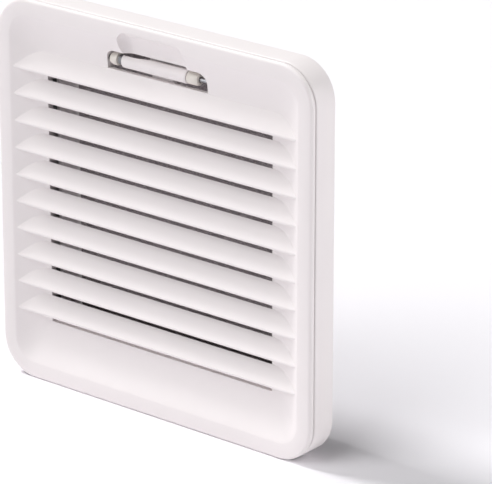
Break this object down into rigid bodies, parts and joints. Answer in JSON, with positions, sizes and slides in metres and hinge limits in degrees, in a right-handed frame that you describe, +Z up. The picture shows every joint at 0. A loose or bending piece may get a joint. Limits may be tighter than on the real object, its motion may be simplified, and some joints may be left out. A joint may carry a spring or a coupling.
{
  "type": "cabinet exhaust filter",
  "caption": "Square louvred exhaust filter for a cabinet wall: hinged dished cover with a press latch, mounting frame with snap-in clips, filter mat, guard grid and foam seal.",
  "frame": {"origin": "bottom centre of the bounding box", "axes": "+X to the right seen from the front, +Y back into the cabinet, +Z up"},
  "size_m": [0.15, 0.027, 0.15],
  "materials": {
    "housing_plastic": "moulded, satin",
    "clip_plastic": "moulded, satin",
    "bush_plastic": "glossy",
    "zinc_steel": "zinc plated",
    "filter_fibre": "non-woven fibre",
    "seal_foam": "closed-cell foam"
  },
  "bodies": {
    "frame_unit": {"mounting_frame": "housing_plastic", "guard_grid": "housing_plastic", "filter_mat": "filter_fibre", "flange_gasket": "seal_foam", "hinge_pin_left": "zinc_steel", "hinge_pin_right": "zinc_steel", "clip_pin_left_lower": "zinc_steel", "clip_pin_left_upper": "zinc_steel", "clip_pin_right_lower": "zinc_steel", "clip_pin_right_upper": "zinc_steel"},
    "cover_unit": {"front_cover": "housing_plastic", "latch_pin": "zinc_steel", "latch_bush_left": "bush_plastic", "latch_bush_right": "bush_plastic"},
    "latch_unit": {"latch_lever": "housing_plastic", "latch_spring": "zinc_steel"},
    "clip_unit_left_lower": {"clip_left_lower": "clip_plastic", "clip_spring_left_lower": "zinc_steel"},
    "clip_unit_left_upper": {"clip_left_upper": "clip_plastic", "clip_spring_left_upper": "zinc_steel"},
    "clip_unit_right_lower": {"clip_right_lower": "clip_plastic", "clip_spring_right_lower": "zinc_steel"},
    "clip_unit_right_upper": {"clip_right_upper": "clip_plastic", "clip_spring_right_upper": "zinc_steel"}
  },
  "joints": [
    {"name": "cover_hinge", "type": "hinge", "parent": "frame_unit", "child": "cover_unit", "pos_m": [0, -0.0083, 0.0026], "axis": [1, 0, 0], "range_deg": [0, 80]},
    {"name": "latch_press", "type": "hinge", "parent": "cover_unit", "child": "latch_unit", "pos_m": [0, -0.0075, 0.1339], "axis": [-1, 0, 0], "range_deg": [-8, 10], "stiffness_Nm_per_rad": 0.05},
    {"name": "clip_left_lower_pivot", "type": "hinge", "parent": "frame_unit", "child": "clip_unit_left_lower", "pos_m": [-0.0602, 0.0095, 0.041], "axis": [0, 0, 1], "range_deg": [0, 17], "stiffness_Nm_per_rad": 0.08},
    {"name": "clip_left_upper_pivot", "type": "hinge", "parent": "frame_unit", "child": "clip_unit_left_upper", "pos_m": [-0.0602, 0.0095, 0.109], "axis": [0, 0, 1], "range_deg": [0, 17], "stiffness_Nm_per_rad": 0.08},
    {"name": "clip_right_lower_pivot", "type": "hinge", "parent": "frame_unit", "child": "clip_unit_right_lower", "pos_m": [0.0602, 0.0095, 0.041], "axis": [0, 0, -1], "range_deg": [0, 17], "stiffness_Nm_per_rad": 0.08},
    {"name": "clip_right_upper_pivot", "type": "hinge", "parent": "frame_unit", "child": "clip_unit_right_upper", "pos_m": [0.0602, 0.0095, 0.109], "axis": [0, 0, -1], "range_deg": [0, 17], "stiffness_Nm_per_rad": 0.08}
  ]
}
